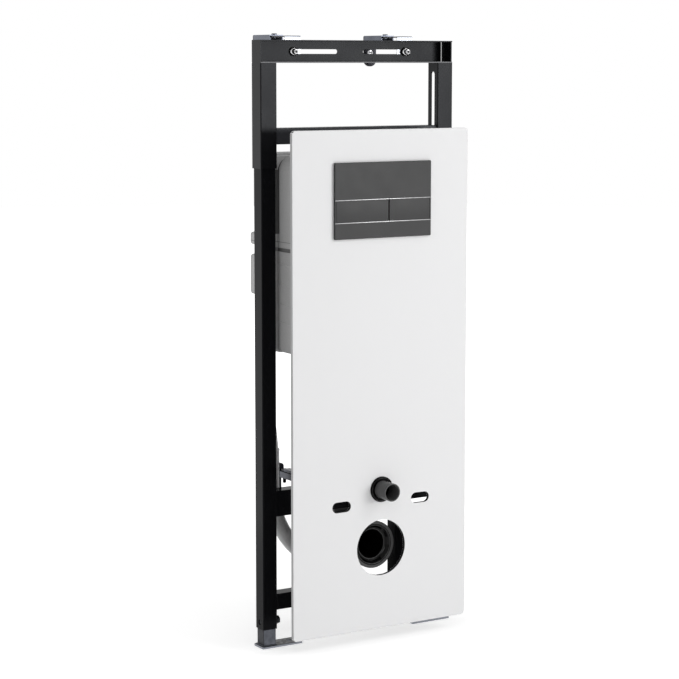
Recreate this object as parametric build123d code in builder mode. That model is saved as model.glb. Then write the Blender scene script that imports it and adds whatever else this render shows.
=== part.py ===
"""Wall hung toilet frame: feet, steel frame, adjustable top, wall brackets, cistern, panel and pipes.

Millimetres, +Z up. X runs across the frame, -Y faces the room, +Y faces the wall.
The origin is on the floor, midway between the two feet, on the centre plane of the uprights.
"""
import os

from build123d import *

os.makedirs("parts", exist_ok=True)

# Running gaps
slide_gap = 0.3  # between a tube and the tube that slides in it
seat_gap = 0.3  # between a sliding piece and the face it slides along
button_gap = 0.6
cut_margin = 1.0  # how far a cut starts outside the face it opens

# Uprights, sleeves and feet
post_spacing = 459.0  # centre to centre
upright_size = 35.0
upright_wall = 1.7
tube_corner = 2.0
tube_inner_corner = 0.4
upright_bottom = 42.0
upright_top = 1140.0
sleeve_wall = 2.2
sleeve_bottom = 1065.5
sleeve_top = 1292.5
sleeve_slot_width = 13.5
sleeve_slot_low = 1082.0
sleeve_slot_high = 1273.0
sleeve_back_width = 28.0
sleeve_back_low = 1108.0
sleeve_back_high = 1278.0
foot_wall = 2.5
foot_engagement = 210.0  # how far the foot tube reaches up inside the upright

base_length = 102.5
base_depth = 41.5
base_thickness = 5.0
base_overhang = 1.0  # beyond the outer side of the sleeve
base_corner = 3.0
base_chamfer = 1.0
anchor_hole_x = 172.0
anchor_hole_radius = 6.0
weld_rise = 1.6
weld_taper = 40.0
weld_corner = 3.0

lock_height = 57.0
lock_hex = 17.0
lock_head = 6.5
lock_collar = 7.0
lock_collar_radius = 10.2
lock_shank_radius = 5.0
lock_side_hole_radius = 6.0
sleeve_lock_height = 1086.0

# Cross members of the lower frame
rail_wall = 2.0
low_rail_bottom = 84.5
low_rail_height = 36.0
stud_height = 322.7
stud_rail_below = 26.7  # from the studs down to the rail's lower side
stud_rail_height = 57.5
inner_post_inside_x = 100.8
stud_spacings = (180.0, 230.0)
stud_hole_radius = 6.0

# Upper frame
cross_rail_bottom = 1117.0
cross_rail_height = 35.5
cross_rail_depth = 35.0
top_rail_height = 49.3
top_rail_sheet = 2.5
top_rail_inset = 1.0  # from the sleeve's outer side
corner_slit = 2.6
bend_radius = 2.0
rail_slot_inner_x = 33.0
rail_slot_outer_x = 155.0
rail_slot_width = 10.0

# Wall brackets
bracket_x = 146.0
wall_plane = 169.0
bracket_bolt_radius = 4.0
washer_radius = 10.5
washer_thickness = 2.0
bracket_nut_hex = 14.0
bracket_nut_height = 7.0
bolt_end = 5.0
tab_width = 40.0
tab_sheet = 2.5
tab_drop = 44.0
tab_corner = 2.0
strip_width = 28.0
strip_rise = 9.7  # above the top rail
strip_rear = 128.0
strip_slot_width = 8.0
strip_slot_start = 12.0  # behind the tab
strip_slot_end = 4.0  # before the strip's rear end
channel_front = 92.0
channel_sheet = 2.5
channel_skirt = 15.0
channel_bend = 4.0
skirt_drop = 2.0  # below the channel's top, clear of its rounded bend
wall_plate_drop = 70.0
wall_plate_rounding = 0.45  # share of the plate's width
wall_hole_radius = 5.0
wall_hole_drop = 38.3  # below the channel's top
clamp_setback = 10.0
clamp_radius = 4.0
clamp_head_radius = 6.0
clamp_head_height = 3.0
clamp_head_edge = 1.2

# Front panel and its openings
panel_width = 454.0
panel_bottom = 35.7
panel_top = 1149.2
panel_front = -114.5
panel_thickness = 8.0
panel_corner = 9.0
front_edge = 0.8  # chamfer around the front of the panel and the flush plate
waste_below_studs = 102.7
waste_hole_radius = 63.3
stud_slot_x = 103.3
stud_slot_length = 48.0
stud_slot_width = 24.0
flush_above_studs = 29.8
spigot_clearance = 3.0

# Flush plate and buttons
plate_width = 249.0
plate_height = 166.0
plate_centre = 996.3
plate_thickness = 7.0
plate_edge = 4.5  # the share of its thickness that stands out all round
plate_setback = 5.0  # how far the rest lies inside that edge
plate_corner = 2.5
plate_rim = 3.0
plate_low_field = 35.0
button_row = 50.0
button_split = 138.5
split_width = 2.4
button_travel_room = 4.5
button_edge = 0.6

# Cistern
tank_half_width = 205.0
tank_bottom = 660.0
tank_top = 1096.5
tank_back = 92.0
tank_wall = 4.0
tank_corner = 14.0
shell_half_width = 200.0
shell_top = 1091.5
shell_front = -78.0
shell_wall = 6.5
shell_corner = 32.0
shell_low_corner = 16.0
shell_edge = 8.0
shell_gap = 4.0
shell_upper_gap = 12.3
shell_step = 922.0  # where the narrow gap becomes the wide one
lug_reach = 231.0
lug_depth = 44.0
lug_corner = 7.0
lug_high = (896.0, 924.0)
lug_low = (786.0, 875.0)
band_groove = (884.0, 892.3)
band_groove_depth = 4.0
access_width = 180.0
access_height = 118.0
access_gap = 1.0
access_wall = 3.0

# Flush pipe
flush_pipe_radius = 22.5
flush_pipe_wall = 2.2
flush_pipe_y = -55.0
flush_bend_radius = 40.0
spigot_radius = 20.0
spigot_wall = 2.5
spigot_front = -160.0
flush_flange_radius = 28.7
flush_flange_thickness = 4.5
flush_flange_edge = 1.5

# Waste
bend_pipe_radius = 45.0
bend_pipe_wall = 3.0
waste_bend_radius = 68.0
waste_down_y = 106.0
waste_outlet_z = 30.0
outlet_radius = 55.0
outlet_wall = 3.5
outlet_length = 35.0
outlet_shoulder = 5.0
socket_front = -82.5
socket_collar_radius = 53.5
socket_step = -72.0
socket_barrel_radius = 47.5
socket_mouth_radius = 43.5
socket_throat_radius = 33.5
socket_back = -25.0
clamp_ring = 3.5
clamp_depth = 30.0
clamp_half_width = 62.0
clamp_flange = 6.0
clamp_shoulder = (0.8, 0.6)  # where the shoulders meet the ring, as shares of its radius

# Side drain pipe
drain_radius = 18.0
drain_wall = 2.0
drain_collar_radius = 20.5
drain_collar = (400.0, 434.0)
drain_top = (-191.0, 60.0)
drain_fall = 160.0  # how far it drops before its small offset
drain_offset = 6.8
drain_offset_drop = 60.0
drain_knee_drop = 31.0  # below the stud rail
drain_end = (-20.0, 102.0, 114.0)
drain_radii = (75.0, 75.0, 220.0)

# Panel supports
support_x = 186.4  # outer side
support_sheet = 4.0
support_rise = 55.5  # above the stud rail
support_width = 10.5
support_corner = 8.0
support_leg = 4.0
arm_drop = 18.0  # below the support's top
arm_height = 14.0
arm_width = 16.0
jaw_height = 8.0
jaw_rear = -3.0
jaw_groove = 2.5
jaw_web = 2.6
support_bolt_y = 6.5
support_bolt_radius = 4.0
support_bolt_length = 26.0
support_bolt_hex = 13.0
support_bolt_head = 6.0

# What follows from those sizes
post_x = post_spacing / 2
sleeve_size = upright_size + 2 * (slide_gap + sleeve_wall)
foot_size = upright_size - 2 * (upright_wall + slide_gap)
rail_half = post_x - upright_size / 2
frame_half = post_x + sleeve_size / 2
cross_rail_half = post_x - sleeve_size / 2
upright_back = upright_size / 2
top_rail_front = -sleeve_size / 2
top_rail_back = sleeve_size / 2
top_rail_half = frame_half - top_rail_inset
top_rail_top = sleeve_top + top_rail_height
slot_height = sleeve_top + top_rail_height / 2
panel_back = panel_front + panel_thickness
stud_rail_bottom = stud_height - stud_rail_below
stud_rail_top = stud_rail_bottom + stud_rail_height
waste_height = stud_height - waste_below_studs
flush_height = stud_height + flush_above_studs
support_top = stud_rail_top + support_rise
arm_top = support_top - arm_drop
support_bolt_low = arm_top - support_bolt_length
low_rail_top = low_rail_bottom + low_rail_height
strip_top = top_rail_top + strip_rise
channel_top = strip_top + seat_gap + channel_sheet
wall_hole_height = channel_top - wall_hole_drop
plate_bottom = plate_centre - plate_height / 2
button_low = plate_bottom + plate_low_field
sides = {"left": -1, "right": 1}


def write(name, builder):
    """Labels one finished piece and writes it to its own file."""
    builder.part.label = name
    export_step(builder.part, f"parts/{name}.step")


def tube_section(width, height, wall):
    """Sketches a hollow rounded rectangle at the current locations of the open sketch."""
    RectangleRounded(width, height, tube_corner)
    RectangleRounded(width - 2 * wall, height - 2 * wall, tube_inner_corner, mode=Mode.SUBTRACT)


# Feet: base plates bolted to the floor, with the tubes that the frame slides on
base_outer_x = frame_half + base_overhang
weld_size = foot_size + 2 * weld_rise
foot_bore = foot_size - 2 * foot_wall
for side, sign in sides.items():
    base_centre_x = sign * (base_outer_x - base_length / 2)
    with BuildPart() as base_plate:
        with BuildSketch(Plane.XY):
            with Locations((base_centre_x, 0)):
                RectangleRounded(base_length, base_depth, base_corner)
        extrude(amount=base_thickness)
        chamfer(base_plate.faces().sort_by(Axis.Z)[-1].edges(), base_chamfer)
        with Locations((sign * anchor_hole_x, 0, base_thickness)):
            Hole(anchor_hole_radius)
    write(f"{side}_base_plate", base_plate)

    with BuildPart() as foot_tube:
        with BuildSketch(Plane.XY.offset(base_thickness)):
            with Locations((sign * post_x, 0)):
                tube_section(foot_size, foot_size, foot_wall)
        extrude(amount=upright_bottom + foot_engagement - base_thickness)
        with BuildSketch(Plane.XY.offset(base_thickness)):
            with Locations((sign * post_x, 0)):
                RectangleRounded(weld_size, weld_size, weld_corner)
                RectangleRounded(foot_bore, foot_bore, tube_inner_corner, mode=Mode.SUBTRACT)
        extrude(amount=2 * weld_rise, taper=weld_taper)
    write(f"{side}_foot_tube", foot_tube)

# Lower frame: uprights, rails and inner posts
for side, sign in sides.items():
    with BuildPart() as upright:
        with BuildSketch(Plane.XY.offset(upright_bottom)):
            with Locations((sign * post_x, 0)):
                tube_section(upright_size, upright_size, upright_wall)
        extrude(amount=upright_top - upright_bottom)
        outer_x = sign * (post_x + upright_size / 2)
        outer_face = Plane(origin=(outer_x, 0, 0), x_dir=(0, sign, 0), z_dir=(sign, 0, 0))
        inner_face = Plane(origin=(sign * rail_half, 0, 0), x_dir=(0, -sign, 0), z_dir=(-sign, 0, 0))
        with BuildSketch(outer_face):
            with Locations((0, lock_height)):
                Circle(lock_side_hole_radius)
        extrude(amount=-2 * upright_wall, mode=Mode.SUBTRACT)
        with BuildSketch(inner_face):
            with Locations((0, lock_height)):
                Circle(lock_shank_radius)
        extrude(amount=-2 * upright_wall, mode=Mode.SUBTRACT)
    write(f"{side}_upright", upright)

    with BuildPart() as inner_post:
        with BuildSketch(Plane.XY.offset(low_rail_top)):
            with Locations((sign * (inner_post_inside_x + upright_size / 2), 0)):
                tube_section(upright_size, upright_size, rail_wall)
        extrude(amount=stud_rail_bottom - low_rail_top)
    write(f"{side}_inner_post", inner_post)

with BuildPart() as low_rail:
    with BuildSketch(Plane.YZ.offset(-rail_half)):
        with Locations((0, low_rail_bottom + low_rail_height / 2)):
            tube_section(upright_size, low_rail_height, rail_wall)
    extrude(amount=2 * rail_half)
write("lower_cross_rail", low_rail)

with BuildPart() as stud_rail:
    with BuildSketch(Plane.YZ.offset(-rail_half)):
        with Locations((0, stud_rail_bottom + stud_rail_height / 2)):
            tube_section(upright_size, stud_rail_height, rail_wall)
    extrude(amount=2 * rail_half)
    stud_places = [(sign * spacing / 2, stud_height) for spacing in stud_spacings for sign in (-1, 1)]
    with BuildSketch(Plane.XZ.offset(-upright_back)):
        with Locations(*stud_places):
            Circle(stud_hole_radius)
    extrude(amount=upright_size, mode=Mode.SUBTRACT)
write("stud_rail", stud_rail)

# Upper frame: sleeves over the uprights, a cross rail and a folded top rail
for side, sign in sides.items():
    with BuildPart() as sleeve:
        with BuildSketch(Plane.XY.offset(sleeve_bottom)):
            with Locations((sign * post_x, 0)):
                tube_section(sleeve_size, sleeve_size, sleeve_wall)
        extrude(amount=sleeve_top - sleeve_bottom)
        slot_middle = (sleeve_slot_low + sleeve_slot_high) / 2
        inner_face = Plane(origin=(sign * cross_rail_half, 0, 0), x_dir=(0, -sign, 0), z_dir=(-sign, 0, 0))
        with BuildSketch(inner_face):
            with Locations((0, slot_middle)):
                SlotOverall(sleeve_slot_high - sleeve_slot_low, sleeve_slot_width, rotation=90)
        extrude(amount=-2 * sleeve_wall, mode=Mode.SUBTRACT)
        back_middle = (sleeve_back_low + sleeve_back_high) / 2
        with BuildSketch(Plane.XZ.offset(-sleeve_size / 2)):
            with Locations((sign * post_x, sleeve_lock_height)):
                Circle(lock_shank_radius)
            with Locations((sign * post_x, back_middle)):
                SlotOverall(sleeve_back_high - sleeve_back_low, sleeve_back_width, rotation=90)
        extrude(amount=sleeve_wall, mode=Mode.SUBTRACT)
    write(f"{side}_sleeve", sleeve)

with BuildPart() as cross_rail:
    with BuildSketch(Plane.YZ.offset(-cross_rail_half)):
        with Locations((top_rail_back - cross_rail_depth / 2, cross_rail_bottom + cross_rail_height / 2)):
            tube_section(cross_rail_depth, cross_rail_height, rail_wall)
    extrude(amount=2 * cross_rail_half)
write("upper_cross_rail", cross_rail)

web_half = top_rail_half - top_rail_sheet - corner_slit
with BuildPart() as top_rail:
    with BuildSketch(Plane.YZ.offset(-top_rail_half)):
        with BuildLine():
            Polyline(
                (top_rail_front, sleeve_top),
                (top_rail_back, sleeve_top),
                (top_rail_back, top_rail_top),
                (top_rail_front, top_rail_top),
                (top_rail_front, top_rail_top - top_rail_sheet),
                (top_rail_back - top_rail_sheet, top_rail_top - top_rail_sheet),
                (top_rail_back - top_rail_sheet, sleeve_top + top_rail_sheet),
                (top_rail_front, sleeve_top + top_rail_sheet),
                close=True,
            )
        make_face()
    extrude(amount=2 * top_rail_half)
    fillet(top_rail.faces().sort_by(Axis.Y)[-1].edges().filter_by(Axis.X), bend_radius)
    end_height = top_rail_height - 2 * top_rail_sheet
    end_x = top_rail_half - top_rail_sheet / 2
    slit_x = web_half + corner_slit / 2
    with Locations((-end_x, 0, slot_height), (end_x, 0, slot_height)):
        Box(top_rail_sheet, sleeve_size - 2 * bend_radius, end_height)
    with Locations((-slit_x, top_rail_back, slot_height), (slit_x, top_rail_back, slot_height)):
        Box(corner_slit, 4 * top_rail_sheet, end_height, mode=Mode.SUBTRACT)
    slot_length = rail_slot_outer_x - rail_slot_inner_x
    slot_centre_x = (rail_slot_outer_x + rail_slot_inner_x) / 2
    with BuildSketch(Plane.XZ.offset(-top_rail_back - cut_margin)):
        with Locations((-slot_centre_x, slot_height), (slot_centre_x, slot_height)):
            SlotOverall(slot_length, rail_slot_width)
    extrude(amount=3 * top_rail_sheet, mode=Mode.SUBTRACT)
write("top_rail", top_rail)

# Lock bolts at the feet and in the sleeves
for side, sign in sides.items():
    inner_face = Plane(origin=(sign * rail_half, 0, 0), x_dir=(0, -sign, 0), z_dir=(-sign, 0, 0))
    with BuildPart() as lock_bolt:
        with BuildSketch(inner_face):
            with Locations((0, lock_height)):
                Circle(lock_collar_radius)
        extrude(amount=lock_collar)
        with BuildSketch(inner_face.offset(lock_collar)):
            with Locations((0, lock_height)):
                RegularPolygon(lock_hex / 2, 6, major_radius=False)
        extrude(amount=lock_head)
        with BuildSketch(inner_face):
            with Locations((0, lock_height)):
                Circle(lock_shank_radius)
        extrude(amount=-upright_wall)
    write(f"{side}_lock_bolt", lock_bolt)

    with BuildPart() as sleeve_bolt:
        with BuildSketch(Plane.XZ.offset(-sleeve_size / 2)):
            with Locations((sign * post_x, sleeve_lock_height)):
                Circle(lock_collar_radius)
        extrude(amount=-lock_collar)
        with BuildSketch(Plane.XZ.offset(-sleeve_size / 2 - lock_collar)):
            with Locations((sign * post_x, sleeve_lock_height)):
                RegularPolygon(lock_hex / 2, 6, major_radius=False)
        extrude(amount=-lock_head)
        with BuildSketch(Plane.XZ.offset(-sleeve_size / 2)):
            with Locations((sign * post_x, sleeve_lock_height)):
                Circle(lock_shank_radius)
        extrude(amount=sleeve_wall)
    write(f"{side}_sleeve_bolt", sleeve_bolt)

# Wall brackets: a tab behind the top rail, a strip to the rear and a channel that slides on it
web_front = top_rail_back - top_rail_sheet
tab_front = top_rail_back + seat_gap
strip_slot_front = tab_front + strip_slot_start
strip_slot_rear = strip_rear - strip_slot_end
channel_width = strip_width + 2 * (seat_gap + channel_sheet)
washer_back = -web_front + seat_gap
nut_back = washer_back + washer_thickness
bolt_front = nut_back + bracket_nut_height + bolt_end
shank_length = bolt_front + tab_front + tab_sheet
for side, sign in sides.items():
    bracket_centre = sign * bracket_x
    with BuildPart() as bracket_arm:
        with BuildSketch(Plane.XZ.offset(-tab_front)):
            with Locations((bracket_centre, strip_top - tab_drop / 2)):
                RectangleRounded(tab_width, tab_drop, tab_corner)
            with Locations((bracket_centre, slot_height)):
                Circle(bracket_bolt_radius, mode=Mode.SUBTRACT)
        extrude(amount=-tab_sheet)
        with BuildSketch(Plane.XY.offset(strip_top - tab_sheet)):
            with Locations((bracket_centre, (tab_front + strip_rear) / 2)):
                Rectangle(strip_width, strip_rear - tab_front)
            with Locations((bracket_centre, (strip_slot_front + strip_slot_rear) / 2)):
                slot_length = strip_slot_rear - strip_slot_front
                SlotOverall(slot_length, strip_slot_width, rotation=90, mode=Mode.SUBTRACT)
        extrude(amount=tab_sheet)
    write(f"{side}_bracket_arm", bracket_arm)

    with BuildPart() as bracket_bolt:
        with BuildSketch(Plane.XZ.offset(washer_back)):
            with Locations((bracket_centre, slot_height)):
                Circle(washer_radius)
        extrude(amount=washer_thickness)
        with BuildSketch(Plane.XZ.offset(nut_back)):
            with Locations((bracket_centre, slot_height)):
                RegularPolygon(bracket_nut_hex / 2, 6, major_radius=False)
        extrude(amount=bracket_nut_height)
        with BuildSketch(Plane.XZ.offset(bolt_front)):
            with Locations((bracket_centre, slot_height)):
                Circle(bracket_bolt_radius)
        extrude(amount=-shank_length)
        with BuildSketch(Plane.XZ.offset(-tab_front - tab_sheet)):
            with Locations((bracket_centre, slot_height)):
                RegularPolygon(bracket_nut_hex / 2, 6, major_radius=False)
        extrude(amount=-bracket_nut_height)
    write(f"{side}_bracket_bolt", bracket_bolt)

    with BuildPart() as wall_channel:
        with BuildSketch(Plane.YZ.offset(bracket_centre - channel_width / 2)):
            with BuildLine():
                Polyline(
                    (channel_front, channel_top),
                    (wall_plane, channel_top),
                    (wall_plane, channel_top - wall_plate_drop),
                    (wall_plane - channel_sheet, channel_top - wall_plate_drop),
                    (wall_plane - channel_sheet, channel_top - channel_sheet),
                    (channel_front, channel_top - channel_sheet),
                    close=True,
                )
            make_face()
        extrude(amount=channel_width)
        top_edges = wall_channel.edges().filter_by(Axis.X).group_by(Axis.Z)[-1]
        fillet(top_edges.sort_by(Axis.Y)[-1], channel_bend)
        foot_corners = wall_channel.edges().filter_by(Axis.Y).sort_by(Axis.Z)[:2]
        fillet(foot_corners, channel_width * wall_plate_rounding)
        side_x = [bracket_centre + edge * (channel_width - channel_sheet) / 2 for edge in (-1, 1)]
        side_depth = wall_plane - channel_sheet - channel_front
        side_y = channel_front + side_depth / 2
        side_z = channel_top - (skirt_drop + channel_skirt) / 2
        with Locations(*[(x, side_y, side_z) for x in side_x]):
            Box(channel_sheet, side_depth, channel_skirt - skirt_drop)
        with Locations((bracket_centre, channel_front + clamp_setback, channel_top)):
            Hole(clamp_radius, depth=channel_sheet * 2)
        with BuildSketch(Plane.XZ.offset(-wall_plane - cut_margin)):
            with Locations((bracket_centre, wall_hole_height)):
                Circle(wall_hole_radius)
        extrude(amount=3 * channel_sheet, mode=Mode.SUBTRACT)
    write(f"{side}_wall_channel", wall_channel)

    with BuildPart() as clamp_screw:
        with BuildSketch(Plane.XY.offset(channel_top)):
            with Locations((bracket_centre, channel_front + clamp_setback)):
                Circle(clamp_head_radius)
        extrude(amount=clamp_head_height)
        fillet(clamp_screw.edges().sort_by(Axis.Z)[-1], clamp_head_edge)
        with BuildSketch(Plane.XY.offset(channel_top)):
            with Locations((bracket_centre, channel_front + clamp_setback)):
                Circle(strip_slot_width / 2 - seat_gap)
        extrude(amount=-(2 * channel_sheet + tab_sheet + seat_gap))
    write(f"{side}_clamp_screw", clamp_screw)

# Front panel
with BuildPart() as panel:
    with BuildSketch(Plane.XZ.offset(-panel_back)):
        with Locations((0, (panel_bottom + panel_top) / 2)):
            RectangleRounded(panel_width, panel_top - panel_bottom, panel_corner)
        with Locations((0, waste_height)):
            Circle(waste_hole_radius, mode=Mode.SUBTRACT)
        with Locations((-stud_slot_x, stud_height), (stud_slot_x, stud_height)):
            SlotOverall(stud_slot_length, stud_slot_width, mode=Mode.SUBTRACT)
        with Locations((0, flush_height)):
            Circle(spigot_radius + spigot_clearance, mode=Mode.SUBTRACT)
        with Locations((0, plate_centre)):
            Rectangle(access_width, access_height, mode=Mode.SUBTRACT)
    extrude(amount=panel_thickness)
    chamfer(panel.faces().sort_by(Axis.Y)[0].outer_wire().edges(), front_edge)
write("front_panel", panel)

# Flush plate: a thin face on a smaller back, with an opening for two buttons
with BuildPart() as plate:
    with BuildSketch(Plane.XZ.offset(-panel_front + plate_thickness - plate_edge)):
        with Locations((0, plate_centre)):
            RectangleRounded(plate_width, plate_height, plate_corner)
    extrude(amount=plate_edge)
    chamfer(plate.faces().sort_by(Axis.Y)[0].outer_wire().edges(), front_edge)
    with BuildSketch(Plane.XZ.offset(-panel_front)):
        with Locations((0, plate_centre)):
            Rectangle(plate_width - 2 * plate_setback, plate_height - 2 * plate_setback)
    extrude(amount=plate_thickness - plate_edge)
    with BuildSketch(Plane.XZ.offset(-panel_front)):
        with Locations((0, button_low + button_row / 2)):
            Rectangle(plate_width - 2 * plate_rim, button_row)
    extrude(amount=plate_thickness, mode=Mode.SUBTRACT)
write("flush_plate", plate)

row_left = plate_rim - plate_width / 2
split_x = -plate_width / 2 + button_split
button_spans = {
    "large_button": (row_left + button_gap, split_x - split_width / 2),
    "small_button": (split_x + split_width / 2, -row_left - button_gap),
}
for name, (start, end) in button_spans.items():
    with BuildPart() as button:
        with BuildSketch(Plane.XZ.offset(-panel_front + button_travel_room)):
            with Locations(((start + end) / 2, button_low + button_row / 2)):
                Rectangle(end - start, button_row - 2 * button_gap)
        extrude(amount=plate_thickness - button_travel_room)
        chamfer(button.faces().sort_by(Axis.Y)[0].edges(), button_edge)
    write(name, button)

# Cistern: a rear tank hung on the uprights and a front shell, each open towards the other
def shell_profile(place, inset):
    """Makes the shell's outline on the given plane, brought in by the inset on every side."""
    high = shell_top - inset
    low = tank_bottom + inset
    half = shell_half_width - inset
    low_radius = shell_low_corner - inset
    high_radius = shell_corner - inset
    with BuildSketch(place) as profile:
        with BuildLine():
            FilletPolyline(
                (-half, low),
                (half, low),
                (half, high),
                (-half, high),
                close=True,
                radius=(low_radius, low_radius, high_radius, high_radius),
            )
        make_face()
    return profile.sketch


with BuildPart() as tank:
    with BuildSketch(Plane.XZ):
        with Locations((0, (tank_bottom + tank_top) / 2)):
            RectangleRounded(2 * tank_half_width, tank_top - tank_bottom, tank_corner)
    extrude(amount=-tank_back)
    fillet(tank.faces().sort_by(Axis.Y)[-1].outer_wire().edges(), 2 * tank_wall)
    lug_root = tank_half_width - 2 * tank_corner
    for low, high in (lug_low, lug_high):
        for sign in sides.values():
            with BuildSketch(Plane.XZ.offset(-upright_back)):
                with Locations((sign * (lug_reach + lug_root) / 2, (low + high) / 2)):
                    RectangleRounded(lug_reach - lug_root, high - low, lug_corner)
            extrude(amount=-lug_depth)
    with BuildSketch(Plane.XZ.offset(-tank_wall)):
        with Locations((0, (tank_bottom + tank_top) / 2)):
            inner_width = 2 * (tank_half_width - tank_wall)
            RectangleRounded(inner_width, tank_top - tank_bottom - 2 * tank_wall, tank_corner - tank_wall)
    extrude(amount=-(tank_back - 2 * tank_wall), mode=Mode.SUBTRACT)
    extrude(shell_profile(Plane.XZ, shell_wall + tank_wall), amount=-tank_wall, mode=Mode.SUBTRACT)
write("cistern_tank", tank)


shell_depth = -shell_front - shell_gap
shell_rear = Plane.XZ.offset(shell_gap)
with BuildPart() as shell:
    extrude(shell_profile(shell_rear, 0), amount=shell_depth)
    fillet(shell.faces().sort_by(Axis.Y)[0].outer_wire().edges(), shell_edge)
    extrude(shell_profile(shell_rear, shell_wall), amount=shell_depth - shell_wall, mode=Mode.SUBTRACT)
    with BuildSketch(Plane.XY.offset(shell_step)):
        Rectangle(4 * shell_half_width, 2 * shell_upper_gap)
    extrude(amount=tank_top - shell_step, mode=Mode.SUBTRACT)
    with BuildSketch(Plane.XY.offset(band_groove[0])):
        Rectangle(4 * shell_half_width, 4 * abs(shell_front))
        with Locations((0, (shell_front + band_groove_depth) / 2)):
            core_width = 2 * (shell_half_width - band_groove_depth)
            core_depth = abs(shell_front + band_groove_depth)
            Rectangle(core_width, core_depth, mode=Mode.SUBTRACT)
    extrude(amount=band_groove[1] - band_groove[0], mode=Mode.SUBTRACT)
write("cistern_shell", shell)

# The seam between the tank and the shell, set back from both and wider above the step
with BuildPart() as seam:
    extrude(shell_profile(Plane.XZ, shell_gap), amount=shell_upper_gap)
    extrude(shell_profile(Plane.XZ, shell_wall + tank_wall), amount=shell_upper_gap, mode=Mode.SUBTRACT)
    with BuildSketch(Plane.XY.offset(tank_bottom)):
        with Locations((0, -shell_gap - shell_upper_gap)):
            Rectangle(4 * shell_half_width, 2 * shell_upper_gap)
    extrude(amount=shell_step - tank_bottom, mode=Mode.SUBTRACT)
write("cistern_seam", seam)

with BuildPart() as access:
    with BuildSketch(Plane.XZ.offset(-panel_front)):
        with Locations((0, plate_centre)):
            Rectangle(access_width - 2 * access_gap, access_height - 2 * access_gap)
            offset(amount=-access_wall, kind=Kind.INTERSECTION, mode=Mode.SUBTRACT)
    extrude(amount=-(shell_front - panel_front))
write("access_box", access)

# Flush pipe from the cistern to the panel, with its flanged sleeve
sleeve_start = panel_back
with BuildPart() as flush_bend:
    with BuildLine() as flush_path:
        FilletPolyline(
            (0, flush_pipe_y, tank_bottom),
            (0, flush_pipe_y, flush_height),
            (0, sleeve_start, flush_height),
            radius=flush_bend_radius,
        )
    with BuildSketch(Plane(origin=(0, flush_pipe_y, tank_bottom), z_dir=(0, 0, -1))):
        Circle(flush_pipe_radius)
        Circle(flush_pipe_radius - flush_pipe_wall, mode=Mode.SUBTRACT)
    sweep(path=flush_path.line)
write("flush_bend", flush_bend)

with BuildPart() as flush_sleeve:
    with BuildSketch(Plane.XZ.offset(-sleeve_start)):
        with Locations((0, flush_height)):
            Circle(spigot_radius)
            Circle(spigot_radius - spigot_wall, mode=Mode.SUBTRACT)
    extrude(amount=sleeve_start - spigot_front)
    with BuildSketch(Plane.XZ.offset(-panel_front)):
        with Locations((0, flush_height)):
            Circle(flush_flange_radius)
            Circle(spigot_radius - spigot_wall, mode=Mode.SUBTRACT)
    extrude(amount=flush_flange_thickness)
    flange_edges = flush_sleeve.edges().filter_by(GeomType.CIRCLE).group_by(SortBy.RADIUS)[-1]
    fillet(flange_edges.sort_by(Axis.Y)[0], flush_flange_edge)
write("flush_sleeve", flush_sleeve)

# Waste: stepped socket, bend down to the floor and its clamp under the stud rail
with BuildPart() as socket:
    with BuildSketch(Plane.YZ):
        with BuildLine():
            Polyline(
                (socket_front, waste_height + socket_mouth_radius),
                (socket_front, waste_height + socket_collar_radius),
                (socket_step, waste_height + socket_collar_radius),
                (socket_step, waste_height + socket_barrel_radius),
                (socket_back, waste_height + socket_barrel_radius),
                (socket_back, waste_height + socket_throat_radius),
                (socket_step, waste_height + socket_throat_radius),
                (socket_step, waste_height + socket_mouth_radius),
                close=True,
            )
        make_face()
    revolve(axis=Axis((0, 0, waste_height), (0, 1, 0)))
write("waste_socket", socket)

outlet_top = waste_outlet_z + outlet_length
bend_pipe_bore = bend_pipe_radius - bend_pipe_wall
with BuildPart() as waste_bend:
    with BuildLine() as waste_path:
        FilletPolyline(
            (0, socket_back, waste_height),
            (0, waste_down_y, waste_height),
            (0, waste_down_y, outlet_top),
            radius=waste_bend_radius,
        )
    with BuildSketch(Plane(origin=(0, socket_back, waste_height), z_dir=(0, 1, 0))):
        Circle(bend_pipe_radius)
        Circle(bend_pipe_bore, mode=Mode.SUBTRACT)
    sweep(path=waste_path.line)
    with BuildSketch(Plane.XY.offset(waste_outlet_z)):
        with Locations((0, waste_down_y)):
            Circle(outlet_radius)
            Circle(outlet_radius - outlet_wall, mode=Mode.SUBTRACT)
    extrude(amount=outlet_length)
    with BuildSketch(Plane.XY.offset(outlet_top)):
        with Locations((0, waste_down_y)):
            Circle(outlet_radius)
            Circle(bend_pipe_bore, mode=Mode.SUBTRACT)
    extrude(amount=-outlet_shoulder)
write("waste_bend", waste_bend)

clamp_outer = bend_pipe_radius + clamp_ring
shoulder_low = stud_rail_bottom - clamp_flange
shoulder_x = clamp_outer * clamp_shoulder[0]
shoulder_z = waste_height + clamp_outer * clamp_shoulder[1]
with BuildPart() as clamp:
    with BuildSketch(Plane.XZ.offset(-clamp_depth / 2)):
        with Locations((0, waste_height)):
            Circle(clamp_outer)
        with BuildLine():
            Polyline(
                (-clamp_half_width, stud_rail_bottom),
                (clamp_half_width, stud_rail_bottom),
                (clamp_half_width, shoulder_low),
                (shoulder_x, shoulder_z),
                (-shoulder_x, shoulder_z),
                (-clamp_half_width, shoulder_low),
                close=True,
            )
        make_face()
        with Locations((0, waste_height)):
            Circle(bend_pipe_radius, mode=Mode.SUBTRACT)
    extrude(amount=clamp_depth)
write("waste_clamp", clamp)

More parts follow.
